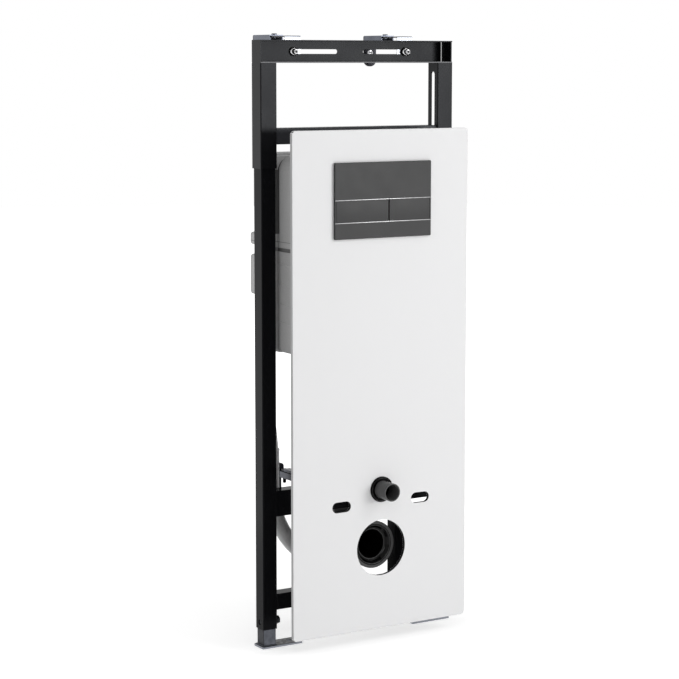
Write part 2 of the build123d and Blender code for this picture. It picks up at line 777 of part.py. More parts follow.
# Side drain pipe from the tank to the waste bend
drain_start = Vector(*drain_top, tank_bottom)
drain_bend = drain_start - Vector(0, 0, drain_fall)
drain_level = drain_bend + Vector(drain_offset, 0, -drain_offset_drop)
drain_knee = Vector(drain_level.X, drain_level.Y, stud_rail_bottom - drain_knee_drop)
with BuildPart() as drain:
    with BuildLine() as drain_path:
        FilletPolyline(drain_start, drain_bend, drain_level, drain_knee, drain_end, radius=drain_radii)
    with BuildSketch(Plane(origin=drain_start, z_dir=(0, 0, -1))):
        Circle(drain_radius)
        Circle(drain_radius - drain_wall, mode=Mode.SUBTRACT)
    sweep(path=drain_path.line)
    with Locations((0, waste_down_y, (waste_outlet_z + waste_height) / 2)):
        Cylinder(bend_pipe_radius, waste_height - waste_outlet_z, mode=Mode.SUBTRACT)
write("drain_pipe", drain)

# A collar where the two lengths of the drain pipe meet
with BuildPart() as collar:
    with BuildSketch(Plane.XY.offset(drain_collar[0])):
        with Locations((drain_level.X, drain_level.Y)):
            Circle(drain_collar_radius)
            Circle(drain_radius, mode=Mode.SUBTRACT)
    extrude(amount=drain_collar[1] - drain_collar[0])
write("drain_collar", collar)

# Supports that carry the panel from the stud rail: a plate on a leg, an arm with a jaw, and a bolt
arm_bottom = arm_top - arm_height
arm_rear = upright_back - support_sheet
groove_depth = arm_width - jaw_web
for side, sign in sides.items():
    support_centre = sign * (support_x - support_width / 2)
    leg_centre = sign * (support_x - support_leg / 2)
    arm_centre = sign * (support_x - arm_width / 2)
    groove_centre = sign * (support_x - groove_depth / 2)
    with BuildPart() as bracket:
        with BuildSketch(Plane.XZ.offset(-arm_rear)):
            with Locations((support_centre, (arm_bottom + support_top) / 2)):
                Rectangle(support_width, support_top - arm_bottom)
            with Locations((leg_centre, (stud_rail_top + arm_bottom) / 2)):
                Rectangle(support_leg, arm_bottom - stud_rail_top)
        extrude(amount=-support_sheet)
        top_corners = bracket.edges().filter_by(Axis.Y).group_by(Axis.Z)[-1].sort_by(Axis.X)
        fillet(top_corners[-1 if sign < 0 else 0], support_corner)
        with BuildSketch(Plane.XZ.offset(-arm_rear)):
            with Locations((arm_centre, arm_top - arm_height / 2)):
                Rectangle(arm_width, arm_height)
        extrude(amount=arm_rear - panel_back)
        with BuildSketch(Plane.XZ.offset(-jaw_rear)):
            with Locations((arm_centre, arm_top + jaw_height / 2)):
                Rectangle(arm_width, jaw_height)
            with Locations((groove_centre, arm_top + jaw_groove / 2)):
                Rectangle(groove_depth, jaw_groove, mode=Mode.SUBTRACT)
        extrude(amount=jaw_rear - panel_back)
        with Locations((arm_centre, support_bolt_y, arm_top)):
            Hole(support_bolt_radius)
    write(f"{side}_support_bracket", bracket)

    with BuildPart() as arm_bolt:
        with BuildSketch(Plane.XY.offset(arm_top)):
            with Locations((arm_centre, support_bolt_y)):
                RegularPolygon(support_bolt_hex / 2, 6, major_radius=False)
        extrude(amount=support_bolt_head)
        with BuildSketch(Plane.XY.offset(arm_top)):
            with Locations((arm_centre, support_bolt_y)):
                Circle(support_bolt_radius)
        extrude(amount=-(arm_top - support_bolt_low))
    write(f"{side}_support_bolt", arm_bolt)
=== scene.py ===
# %% [markdown]
# # Wall hung toilet frame
# The object is the steel frame that stands behind a bathroom wall and carries a toilet bowl: two feet, a
# painted frame with a cistern, a top that slides up and down, two wall brackets and a pale front panel
# with its flush plate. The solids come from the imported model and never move. This script gives them their
# finishes, and makes the small pieces that a plain solid lacks: bolts, welds, seals, ribs and button faces.

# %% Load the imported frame
import math

import bmesh
import bpy
from mathutils import Matrix, Vector


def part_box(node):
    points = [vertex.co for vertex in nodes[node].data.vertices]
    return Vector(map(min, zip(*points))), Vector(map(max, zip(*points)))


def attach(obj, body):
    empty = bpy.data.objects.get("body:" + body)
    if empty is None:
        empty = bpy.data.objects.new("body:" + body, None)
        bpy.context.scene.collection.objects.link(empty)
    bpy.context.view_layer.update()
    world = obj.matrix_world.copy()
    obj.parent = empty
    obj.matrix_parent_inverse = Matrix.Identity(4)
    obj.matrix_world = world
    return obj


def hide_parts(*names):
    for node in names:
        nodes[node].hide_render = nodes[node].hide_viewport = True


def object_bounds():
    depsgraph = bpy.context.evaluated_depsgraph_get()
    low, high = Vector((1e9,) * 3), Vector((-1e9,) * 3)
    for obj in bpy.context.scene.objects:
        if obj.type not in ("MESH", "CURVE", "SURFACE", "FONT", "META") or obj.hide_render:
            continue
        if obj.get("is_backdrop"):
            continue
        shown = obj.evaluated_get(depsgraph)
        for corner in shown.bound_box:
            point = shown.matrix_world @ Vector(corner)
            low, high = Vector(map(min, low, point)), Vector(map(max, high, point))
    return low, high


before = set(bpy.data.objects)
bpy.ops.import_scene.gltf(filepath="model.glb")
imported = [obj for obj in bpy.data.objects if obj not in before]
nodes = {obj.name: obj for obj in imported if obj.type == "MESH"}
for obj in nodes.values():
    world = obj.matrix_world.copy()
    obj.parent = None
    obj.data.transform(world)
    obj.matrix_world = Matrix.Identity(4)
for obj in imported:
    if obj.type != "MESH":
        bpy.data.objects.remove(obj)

cad_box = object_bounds()
scene = bpy.context.scene
print(len(nodes), "solids, from", [round(v, 3) for v in cad_box[0]], "to", [round(v, 3) for v in cad_box[1]])

# %% [markdown]
# ## Camera
# The photograph was taken from the left, near the height of the frame's top, from about 4.4 metres away
# and with a long lens. A view camera with a large downward shift would keep the posts exactly upright,
# but the same camera also takes the other views, which such a shift would cut off. A camera that is
# tilted down by seven degrees with a small shift comes within a few pixels of it, so that one is used.

# %% Set the camera
camera_data = bpy.data.cameras.new("photo_camera")
camera = bpy.data.objects.new("photo_camera", camera_data)
scene.collection.objects.link(camera)
camera.location = (-2.40935, -3.87119, 1.29327)
camera.rotation_euler = (math.radians(90 - 7.1547), 0, math.radians(-31.4816))
camera_data.lens = 108.39
camera_data.shift_y = -0.03
camera_data.clip_end = 100
scene.camera = camera
print("camera", round(math.dist(camera.location, (0, 0, 0.7)), 2), "m from the middle of the frame")

# %% [markdown]
# ## Helpers for finishes
# Every finish is a Principled shader whose colour, roughness and surface height vary a little. The
# variation comes from noise that is placed by Object coordinates, so it stays on the piece from any side
# and in any pose. Numbers that are the same all over a piece are set on the shader's own sockets.

# %% Make a finish with an even shader
def finish(name, metallic=0.0, specular=0.5, sheen_colour=(1, 1, 1)):
    material = bpy.data.materials.new(name)
    material.use_nodes = True
    shader = material.node_tree.nodes["Principled BSDF"]
    shader.inputs["Metallic"].default_value = metallic
    shader.inputs["Specular IOR Level"].default_value = specular
    shader.inputs["Specular Tint"].default_value = (*sheen_colour, 1)
    return material


def grey(level):
    return (level, level, level)


def node(owner, kind, **values):
    made = owner.node_tree.nodes.new(kind)
    for key, value in values.items():
        if key in made.inputs:
            made.inputs[key].default_value = value
        else:
            setattr(made, key, value)
    return made


def link(owner, source, socket, target, entry):
    owner.node_tree.links.new(source.outputs[socket], target.inputs[entry])


def object_noise(material, scale, detail=4.0, stretch=(1, 1, 1)):
    """Noise over the piece; stretch makes streaks, as brushing or rolling leaves."""
    place = node(material, "ShaderNodeTexCoord")
    turn_scale = node(material, "ShaderNodeMapping", Scale=stretch)
    noise = node(material, "ShaderNodeTexNoise", Scale=scale, Detail=detail)
    link(material, place, "Object", turn_scale, "Vector")
    link(material, turn_scale, "Vector", noise, "Vector")
    return noise


# %% Vary colour, roughness and height
def vary_colour(material, dark, light, scale, stretch=(1, 1, 1)):
    noise = object_noise(material, scale, stretch=stretch)
    ramp = node(material, "ShaderNodeValToRGB")
    ramp.color_ramp.elements[0].position = 0.3
    ramp.color_ramp.elements[1].position = 0.7
    ramp.color_ramp.elements[0].color = (*dark, 1)
    ramp.color_ramp.elements[1].color = (*light, 1)
    link(material, noise, "Fac", ramp, "Fac")
    link(material, ramp, "Color", material.node_tree.nodes["Principled BSDF"], "Base Color")


def vary_roughness(material, smooth, rough, scale, stretch=(1, 1, 1)):
    noise = object_noise(material, scale, stretch=stretch)
    span = node(material, "ShaderNodeMapRange")
    span.inputs["From Min"].default_value = 0.3
    span.inputs["From Max"].default_value = 0.7
    span.inputs["To Min"].default_value = smooth
    span.inputs["To Max"].default_value = rough
    link(material, noise, "Fac", span, "Value")
    link(material, span, "Result", material.node_tree.nodes["Principled BSDF"], "Roughness")


def vary_height(material, scale, distance, strength=0.5, stretch=(1, 1, 1)):
    noise = object_noise(material, scale, detail=3.0, stretch=stretch)
    bump = node(material, "ShaderNodeBump", Strength=strength, Distance=distance)
    link(material, noise, "Fac", bump, "Height")
    link(material, bump, "Normal", material.node_tree.nodes["Principled BSDF"], "Normal")


# %% Tint one region of a piece
def tint(material, colour, **spans):
    """Lays a colour where Y, Z or side, the distance from the middle, is in the span given for it."""
    links = material.node_tree.links
    place = node(material, "ShaderNodeTexCoord")
    parts = node(material, "ShaderNodeSeparateXYZ")
    link(material, place, "Object", parts, "Vector")
    chosen = None
    for axis, (low, high) in spans.items():
        source = parts.outputs["X" if axis == "side" else axis]
        if axis == "side":
            across = node(material, "ShaderNodeMath", operation="ABSOLUTE")
            links.new(source, across.inputs[0])
            source = across.outputs[0]
        within = node(material, "ShaderNodeMath", operation="COMPARE")
        within.inputs[1].default_value = (low + high) / 2
        within.inputs[2].default_value = (high - low) / 2
        links.new(source, within.inputs[0])
        if chosen:
            both = node(material, "ShaderNodeMath", operation="MULTIPLY")
            links.new(chosen.outputs[0], both.inputs[0])
            links.new(within.outputs[0], both.inputs[1])
            within = both
        chosen = within
    entry = material.node_tree.nodes["Principled BSDF"].inputs["Base Color"]
    blend = node(material, "ShaderNodeMix", data_type="RGBA")
    blend.inputs[7].default_value = (*colour, 1)
    links.new(chosen.outputs[0], blend.inputs[0])
    links.new(entry.links[0].from_socket, blend.inputs[6])
    links.new(blend.outputs[2], entry)


# %% [markdown]
# ## Black paint
# The steel is powder coated: the paint is sprayed on as dust and baked, which leaves a very fine orange
# peel. The lower frame is a deep gloss black. The sliding top is more satin, and its cross rail a little
# greyer. The peel is a very small bump. A light grey line is painted along the folded lower edge of the
# top rail, as a painted highlight.

# %% Make the black paints
cool = (0.93, 0.955, 1.0)
frame_paint = finish("frame_paint", specular=0.04, sheen_colour=cool)
vary_colour(frame_paint, (0.0044, 0.0044, 0.0052), (0.0052, 0.0052, 0.0061), 9)
vary_roughness(frame_paint, 0.19, 0.25, 14)
vary_height(frame_paint, 900, 0.0002, 0.05)

top_paint = finish("top_paint", specular=0.09, sheen_colour=cool)
vary_colour(top_paint, (0.0032, 0.0032, 0.0038), (0.0042, 0.0042, 0.005), 9)
vary_roughness(top_paint, 0.26, 0.31, 14)
vary_height(top_paint, 900, 0.0002, 0.05)
# Painted highlight: a light grey line along the folded lower edge of the top rail.
rail_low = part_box("top_rail")[0]
tint(
    top_paint,
    (0.16, 0.16, 0.165),
    Y=(rail_low.y - 0.0005, rail_low.y + 0.0006),
    Z=(rail_low.z + 0.0002, rail_low.z + 0.0027),
)

cross_paint = finish("cross_paint", specular=0.08, sheen_colour=cool)
vary_colour(cross_paint, (0.026, 0.0268, 0.03), (0.031, 0.032, 0.0358), 9)
vary_roughness(cross_paint, 0.2, 0.26, 14)
vary_height(cross_paint, 900, 0.0002, 0.05)
print("paints", frame_paint.name, top_paint.name, cross_paint.name)

# %% [markdown]
# ## Zinc and bare steel
# The wall brackets are bright zinc plate with a blue tint, and the plates on the wall a darker one. The
# panel supports are a dark passivated steel, and the bolts are either black or nickel plated. All of them
# are metals: colour comes from the reflection. A few faces are painted much darker, as painted shade: the
# wall plates where they lie on the wall, the bent top edges of the bracket arms and the legs of the panel
# supports. They are picked out by their place.

# %% Make the metals
def metal(name, dark, light, smooth, rough, patch_scale, grain=0.1):
    material = finish(name, metallic=1.0)
    vary_colour(material, dark, light, patch_scale)
    vary_roughness(material, smooth, rough, patch_scale * 2)
    vary_height(material, 500, 0.0003, grain)
    return material


zinc_plate = metal("zinc_plate", (0.07, 0.076, 0.092), (0.095, 0.102, 0.122), 0.24, 0.3, 40, grain=0.02)
wall_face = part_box("left_wall_channel")[1].y
# Painted shade on the wall plates where they lie flat on the wall.
tint(zinc_plate, (0.02, 0.02, 0.023), Y=(wall_face - 0.0028, wall_face + 0.001))
bright_zinc = metal("bright_zinc", (0.22, 0.23, 0.25), (0.26, 0.27, 0.29), 0.22, 0.28, 40, grain=0.01)
arm_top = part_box("left_bracket_arm")[1].z
# Painted shade on the bent top edges of the bracket arms.
tint(bright_zinc, (0.02, 0.021, 0.024), Z=(arm_top - 0.0025, arm_top + 0.001))
support_steel = metal("support_steel", (0.03, 0.032, 0.04), (0.055, 0.058, 0.07), 0.28, 0.4, 40)
support_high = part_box("right_support_bracket")[1]
# Painted shade on the legs of the panel supports, below their arms.
tint(
    support_steel,
    (0.0085, 0.009, 0.011),
    side=(support_high.x - 0.0006, support_high.x + 0.001),
    Y=(support_high.y - 0.0042, support_high.y + 0.001),
)
black_bolt = metal("black_bolt", (0.012, 0.0125, 0.014), (0.024, 0.0245, 0.027), 0.24, 0.34, 90)
nickel = metal("nickel_plate", (0.5, 0.5, 0.51), (0.62, 0.62, 0.63), 0.1, 0.18, 90)
print("metals", [made.name for made in (zinc_plate, bright_zinc, support_steel, black_bolt, nickel)])

# %% [markdown]
# ## Galvanised feet
# The feet are dipped in hot zinc, which shows its crystals as flat patches with clear borders. A Voronoi
# texture makes just such cells, so its cell colour sets the roughness. The top of the base plates and the
# outer side of the foot tubes are painted darker, as painted shade, and the cut edges of the plates are
# painted lighter, as painted highlights.

# %% Make the zinc of the feet
crystals_per_metre = 110
galvanised = finish("galvanised_zinc", metallic=1.0)
vary_colour(galvanised, (0.05, 0.053, 0.061), (0.095, 0.1, 0.114), 60)
vary_height(galvanised, 500, 0.0003, 0.1)
place = node(galvanised, "ShaderNodeTexCoord")
cells = node(galvanised, "ShaderNodeTexVoronoi", Scale=crystals_per_metre)
cell_span = node(galvanised, "ShaderNodeMapRange")
cell_span.inputs["To Min"].default_value = 0.28
cell_span.inputs["To Max"].default_value = 0.5
link(galvanised, place, "Object", cells, "Vector")
link(galvanised, cells, "Color", cell_span, "Value")
link(galvanised, cell_span, "Result", galvanised.node_tree.nodes["Principled BSDF"], "Roughness")
print("crystals about", round(1000 / crystals_per_metre, 1), "mm across")

# %% Paint highlights on the plates' edges and shade on their tops and the tubes' outer sides
plate_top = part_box("left_base_plate")[1].z
foot_side = -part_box("left_foot_tube")[0].x - 0.0016
# Painted highlight on the plates' cut edges, painted shade on their tops and on the foot tubes' outer sides.
tint(galvanised, (0.17, 0.178, 0.2), Z=(0, plate_top - 0.0008))
tint(galvanised, (0.009, 0.0095, 0.011), Z=(plate_top - 0.0002, plate_top + 0.0002))
tint(
    galvanised,
    (0.014, 0.0148, 0.018),
    side=(foot_side - 0.0006, foot_side + 0.001),
    Z=(plate_top + 0.001, 1),
)
print("base plates", round(1000 * plate_top, 1), "mm thick")

# %% [markdown]
# ## Flush plate
# The flush plate and its buttons are a satin charcoal plastic with a fine metallic grain. Very fine noise
# makes the grain. Behind the plate's face its sides and the floor of its pocket are painted dark, as painted
# shade.

# %% Make the plate's plastic
plate_plastic = finish("plate_plastic", specular=0.22)
vary_colour(plate_plastic, (0.026, 0.026, 0.0265), (0.032, 0.032, 0.0325), 700)
vary_roughness(plate_plastic, 0.38, 0.44, 25)
vary_height(plate_plastic, 1400, 0.0002, 0.12)
plate_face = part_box("flush_plate")[0].y
# Painted shade: the plate's sides and pocket floor, just behind its face, are painted near black.
tint(plate_plastic, grey(0.008), Y=(plate_face + 0.0011, plate_face + 0.0072))
print(plate_plastic.name, "on a plate whose face is at y", round(plate_face, 4))

# %% [markdown]
# ## Cistern
# The cistern is matte polystyrene with the faint grain of its mould. The shell has a groove and a mould line
# all round it, both only a few millimetres high, and the front of the tank shows above the shell's step.
# These bands are tinted by their height: the groove and the front of the tank are painted dark, as painted
# shade, the mould line darker, and the top of the shell is painted light, as painted light from above. The
# seam between the two halves is a softer, darker strip.

# %% Make the cistern's plastics
cistern_plastic = finish("cistern_plastic", specular=0.35)
vary_colour(cistern_plastic, grey(0.485), grey(0.53), 260)
vary_roughness(cistern_plastic, 0.55, 0.7, 30)
vary_height(cistern_plastic, 320, 0.0006, 0.25)
shaded_groove = (0.884, 0.8923)
mould_line = (0.9046, 0.9058)
shaded_tank_front = (0.922, 1.062)
# Painted shade in the groove and on the front of the tank above the step; the mould line is a darker line.
tint(cistern_plastic, grey(0.24), Z=shaded_groove)
tint(cistern_plastic, grey(0.12), Y=(-0.0005, 0.0006), Z=shaded_tank_front)
tint(cistern_plastic, grey(0.2), Z=mould_line)
shell_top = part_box("cistern_shell")[1].z
# Painted light from above: the top of the shell is painted lighter.
tint(cistern_plastic, grey(0.78), Z=(shell_top - 0.0006, shell_top + 0.001))

seam_plastic = finish("seam_plastic", specular=0.2)
vary_colour(seam_plastic, grey(0.16), grey(0.19), 260)
vary_roughness(seam_plastic, 0.6, 0.7, 30)
vary_height(seam_plastic, 320, 0.0004, 0.2)
print("groove", round(1000 * (shaded_groove[1] - shaded_groove[0]), 1), "mm high, top at", round(shell_top, 3), "m")

# %% [markdown]
# ## Pipes and fittings
# The drain pipe is smooth pale polypropylene. The bends and the clamp are gloss black. The flush sleeve and
# the waste socket are a dark grey plastic. The flange of the sleeve is black, and the throat of the socket is
# painted black, as painted shade in its bore. Both parts are found by their depth behind the panel.

# %% Make the plastics of the pipes
pipe_plastic = finish("pipe_plastic", specular=0.45)
vary_colour(pipe_plastic, grey(0.52), grey(0.57), 120)
vary_roughness(pipe_plastic, 0.35, 0.45, 30)
vary_height(pipe_plastic, 300, 0.0003, 0.1)

fitting_plastic = finish("fitting_plastic", specular=0.12)
vary_colour(fitting_plastic, (0.0008, 0.0008, 0.0009), (0.0016, 0.0016, 0.0018), 16)
vary_roughness(fitting_plastic, 0.12, 0.18, 18)
vary_height(fitting_plastic, 350, 0.0002, 0.05)

spigot_plastic = finish("spigot_plastic", specular=0.05)
vary_colour(spigot_plastic, grey(0.08), grey(0.09), 200)
vary_roughness(spigot_plastic, 0.2, 0.28, 30)
vary_height(spigot_plastic, 500, 0.0002, 0.08)
panel_low, panel_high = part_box("front_panel")
flange_front = panel_low.y - 0.0046
tint(spigot_plastic, grey(0.0004), Y=(flange_front, 0.0))

socket_plastic = finish("socket_plastic", specular=0.2)
vary_colour(socket_plastic, grey(0.062), grey(0.072), 60)
vary_roughness(socket_plastic, 0.3, 0.42, 18)
vary_height(socket_plastic, 600, 0.0004, 0.1)
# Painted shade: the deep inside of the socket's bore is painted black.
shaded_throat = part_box("waste_socket")[0].y + 0.0112
tint(socket_plastic, grey(0.0006), Y=(shaded_throat, 0.1), side=(0, 0.0455))
print("pipes", [made.name for made in (pipe_plastic, fitting_plastic, spigot_plastic, socket_plastic)])

# %% [markdown]
# ## Rubber and painted highlight lines
# The seals are soft black rubber; on the washers and collars of the bracket bolts the same black is painted
# shade. The two lines on the flush plate are painted highlights, thin strips of bright brushed metal: the
# noise is stretched along X, so that its roughness runs in streaks.

# %% Make the rubber and the metal of the painted highlight lines
rubber_and_shade = finish("seal_rubber_and_shade", specular=0.1)
vary_colour(rubber_and_shade, grey(0.001), grey(0.002), 60)
vary_roughness(rubber_and_shade, 0.07, 0.11, 60)
vary_height(rubber_and_shade, 400, 0.0002, 0.05)

painted_highlight_line = finish("painted_highlight_line", metallic=0.6)
vary_colour(painted_highlight_line, (0.34, 0.34, 0.345), (0.44, 0.44, 0.445), 120)
vary_roughness(painted_highlight_line, 0.25, 0.35, 200, stretch=(0.05, 1, 1))
print(rubber_and_shade.name, "and", painted_highlight_line.name)

# %% [markdown]
# ## Pale panel with painted shade on its edges
# The front panel is pale back-painted glass. Its upright edges are painted grey and the walls of its openings
# darker still, as painted shade. Both are picked out by their place in Object coordinates, so each band
# follows the real edge and not a view of it.

# %% Make the panel's finish
panel_finish = finish("panel_finish", specular=0.03)
vary_colour(panel_finish, (0.782, 0.782, 0.787), (0.788, 0.788, 0.793), 900)
vary_roughness(panel_finish, 0.3, 0.36, 400)
print(panel_finish.name, "with a roughness of 0.30 to 0.36")

# %% Paint shade on the upright edges and the walls of the openings
half = panel_high.x
# Painted shade: the upright edges grey and the walls of the openings near black.
tint(panel_finish, (0.5, 0.5, 0.505), side=(half - 0.0006, half + 0.001))
tint(
    panel_finish,
    grey(0.02),
    side=(0, half - 0.002),
    Y=(panel_low.y + 0.0004, panel_high.y - 0.0002),
    Z=(panel_low.z + 0.002, panel_high.z - 0.002),
)
print("panel", round(panel_high.x - panel_low.x, 3), "by", round(panel_high.z - panel_low.z, 3), "m")

# %% [markdown]
# ## Finishes on the solids
# Each solid takes one finish. Its shape is already right, so only the material in its slot changes.

# %% Give each solid its finish
sides = ("left", "right")
finish_of = {
    frame_paint: ["upright", "inner_post", "lower_cross_rail", "stud_rail"],
    top_paint: ["sleeve", "top_rail"],
    cross_paint: ["upper_cross_rail"],
    galvanised: ["base_plate", "foot_tube"],
    zinc_plate: ["wall_channel", "clamp_screw"],
    bright_zinc: ["bracket_arm"],
    support_steel: ["support_bracket"],
    black_bolt: ["lock_bolt", "sleeve_bolt", "support_bolt"],
    nickel: ["bracket_bolt"],
    panel_finish: ["front_panel"],
    plate_plastic: ["flush_plate", "large_button", "small_button"],
    cistern_plastic: ["cistern_tank", "cistern_shell"],
    seam_plastic: ["cistern_seam"],
    pipe_plastic: ["drain_pipe", "drain_collar"],
    fitting_plastic: ["flush_bend", "waste_bend", "waste_clamp", "access_box"],
    spigot_plastic: ["flush_sleeve"],
    socket_plastic: ["waste_socket"],
}
finished = set()
for material, stems in finish_of.items():
    for stem in stems:
        for name in (stem, *(f"{side}_{stem}" for side in sides)):
            if name in nodes:
                for place in nodes[name].material_slots:
                    place.material = material
                finished.add(name)
print(len(finished), "of", len(nodes), "solids finished", sorted(set(nodes) - finished))

# %% [markdown]
# ## Helpers for new pieces
# Most small pieces of this object are turned or have six sides, so two helpers make them: one spins
# a half profile round an axis, as a lathe does, and one makes a bevelled hexagon. Each piece is made
# standing on the origin along Z, in millimetres of the real thing, and is then laid in its place.

# %% Turn a profile
MM = 0.001


def turned(profile, steps=48):
    """Spins (radius, height) pairs in millimetres round Z."""
    shape = bmesh.new()
    chain = [shape.verts.new((radius * MM, 0, height * MM)) for radius, height in profile]
    rim = [shape.edges.new(pair) for pair in zip(chain, chain[1:])]
    bmesh.ops.spin(
        shape, geom=chain + rim, cent=(0, 0, 0), axis=(0, 0, 1), angle=math.tau, steps=steps, use_merge=True
    )
    bmesh.ops.remove_doubles(shape, verts=shape.verts[:], dist=1e-6)
    bmesh.ops.recalc_face_normals(shape, faces=shape.faces[:])
    return shape


def thread(radius, low, high, pitch=1.25):
    """A threaded end: a core whose profile goes in and out once each pitch, with a chamfered tip."""
    turns = max(1, int((high - low - 1) / pitch))
    profile = [(0, low), (radius * 0.87, low)]
    for number in range(turns):
        profile += [(radius, low + (number + 0.5) * pitch), (radius * 0.87, low + (number + 1) * pitch)]
    return turned(profile + [(radius * 0.7, high), (0, high)], steps=24)


# %% Roll edges over and make a hexagon with eased corners
def rolled(shape, edges, width, segments=2):
    bmesh.ops.bevel(
        shape, geom=edges, offset=width * MM, segments=segments, profile=0.5, affect="EDGES", material=-1
    )


def hexagon(across_flats, low, high, ease=0.7):
    shape = bmesh.new()
    corner = across_flats / math.sqrt(3) * MM
    depth = (high - low) * MM
    middle = Matrix.Translation((0, 0, (low + high) / 2 * MM))
    bmesh.ops.create_cone(
        shape, cap_ends=True, segments=6, radius1=corner, radius2=corner, depth=depth, matrix=middle
    )
    rims = [edge for edge in shape.edges if abs(edge.verts[0].co.z - edge.verts[1].co.z) < 1e-7]
    rolled(shape, rims, ease)
    return shape


# %% Join parts and put a piece in its place
def gather(*parts):
    """Joins several shapes into the first one."""
    whole = parts[0]
    for part in parts[1:]:
        carrier = bpy.data.meshes.new("carrier")
        part.to_mesh(carrier)
        part.free()
        whole.from_mesh(carrier)
        bpy.data.meshes.remove(carrier)
    return whole


def aimed(shape, place, direction):
    """Turns the shape's Z to the direction and moves its foot to the place, in metres."""
    turn_there = Vector(direction).to_track_quat("Z", "Y").to_matrix().to_4x4()
    bmesh.ops.transform(shape, matrix=Matrix.Translation(place) @ turn_there, verts=shape.verts[:])
    return shape


def piece(name, shape, body, material, replaces=(), sharp=35):
    mesh = bpy.data.meshes.new(name)
    shape.to_mesh(mesh)
    shape.free()
    mesh.shade_smooth()
    mesh.set_sharp_from_angle(angle=math.radians(sharp))
    mesh.materials.append(material)
    made = bpy.data.objects.new(name, mesh)
    scene.collection.objects.link(made)
    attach(made, body)
    if replaces:
        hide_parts(*replaces)
    print(name, len(mesh.polygons), "faces on", body)


# %% [markdown]
# ## Bolts that hold the wall brackets
# A nut clamps each bracket to the top rail through its long slot. From the rail outwards there is a black
# rubber washer, a bright flange, a black collar and a bright nut with a dark socket in its middle. The black of
# the washer, the collar and the socket is painted shade: it stands for the crescents of shadow that the real
# bolt shows, so these are made as a piece of their own.

# %% Make the bracket bolts
for side in sides:
    low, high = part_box(f"{side}_bracket_bolt")
    middle = (low + high) / 2
    seat = high.y - 0.0126  # the washer's back, a hair in front of the rail's web
    flange = turned(
        [(4.2, 2.5), (8.6, 2.5), (9.3, 2.9), (9.4, 3.6), (8.6, 4.4), (6.9, 4.9), (4.2, 4.9), (4.2, 2.5)]
    )
    nut = hexagon(10.6, 7.6, 12.2, ease=1.0)
    rim = turned(
        [(2.6, 12.1), (4.3, 12.1), (4.5, 12.6), (4.1, 13.3), (3.2, 13.5), (2.6, 13.0), (2.6, 12.1)], steps=32
    )
    front = aimed(gather(flange, nut, rim), (middle.x, seat, middle.z), (0, -1, 0))
    shank = turned([(0, 0), (3.9, 0), (3.9, 9.0), (0, 9.0)], steps=24)
    head = aimed(gather(shank, hexagon(14.0, 5.9, 12.3)), (middle.x, seat + 0.0002, middle.z), (0, 1, 0))
    bolt = gather(front, head)
    piece(f"{side}_bracket_nut", bolt, f"{side}_bracket", nickel, [f"{side}_bracket_bolt"])
    # Painted shade: the washer, collar and socket are black to give the bolt its crescents of shadow.
    washer = turned([(4.1, 0.1), (10.0, 0.1), (10.5, 0.5), (10.5, 2.1), (10.0, 2.5), (4.1, 2.5), (4.1, 0.1)])
    collar = turned([(3.9, 4.8), (6.6, 4.8), (6.9, 5.3), (6.9, 7.2), (6.5, 7.7), (3.9, 7.7), (3.9, 4.8)])
    socket = hexagon(4.6, 10.0, 12.7, ease=0.3)
    rings = aimed(gather(washer, collar, socket), (middle.x, seat, middle.z), (0, -1, 0))
    piece(f"{side}_bracket_shade_rings", rings, f"{side}_bracket", rubber_and_shade)

# %% [markdown]
# ## Lock bolts at the feet and in the sleeves
# These fix the height once the frame stands level. Each is a hexagon head on a pressed collar that
# bears on the tube. The same bolt is made four times: two face inwards at the feet, and two sit at the
# back of the sleeves.

# %% Make the lock bolts
def lock_bolt():
    flange = turned(
        [(0, 0.05), (9.6, 0.05), (10.2, 0.7), (9.9, 2.0), (8.4, 3.0), (7.6, 5.6), (7.4, 6.9), (0, 6.9)]
    )
    head = hexagon(16.6, 6.4, 13.2, ease=0.9)
    dimple = turned([(0, 12.6), (5.4, 12.9), (6.2, 13.4), (6.0, 13.5), (5.2, 13.3), (0, 13.1)], steps=32)
    return gather(flange, head, dimple)


for side, inward in (("left", 1), ("right", -1)):
    low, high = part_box(f"{side}_lock_bolt")
    seat_x = (low.x + 0.0017) if inward > 0 else (high.x - 0.0017)
    bolt = aimed(lock_bolt(), (seat_x, (low.y + high.y) / 2, (low.z + high.z) / 2), (inward, 0, 0))
    piece(f"{side}_foot_lock", bolt, "frame", black_bolt, [f"{side}_lock_bolt"])
    low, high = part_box(f"{side}_sleeve_bolt")
    bolt = aimed(lock_bolt(), ((low.x + high.x) / 2, low.y + 0.0022, (low.z + high.z) / 2), (0, 1, 0))
    piece(f"{side}_sleeve_lock", bolt, "upper_frame", black_bolt, [f"{side}_sleeve_bolt"])

# %% [markdown]
# ## Bolts that press the panel's supports down
# A long set bolt goes down through each support arm. Most of its thread hangs free below the arm, so the
# thread is made with its real pitch.

# %% Make the support bolts
for side in sides:
    low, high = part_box(f"{side}_support_bolt")
    length = (high.z - low.z) / MM
    head = hexagon(12.4, length - 4.7, length - 0.1, ease=0.6)
    washer = turned([(3.9, 0), (6.2, 0), (6.4, 0.3), (6.2, 1.6), (3.9, 1.6), (3.9, 0)])
    washer = aimed(washer, (0, 0, (length - 6.0) * MM), (0, 0, 1))
    rod = aimed(thread(4.0, 0, length - 5.6), (0, 0, (length - 5.6) * MM), (0, 0, -1))
    bolt = aimed(gather(head, washer, rod), ((low.x + high.x) / 2, (low.y + high.y) / 2, low.z), (0, 0, 1))
    piece(f"{side}_support_screw", bolt, "frame", black_bolt, [f"{side}_support_bolt"])

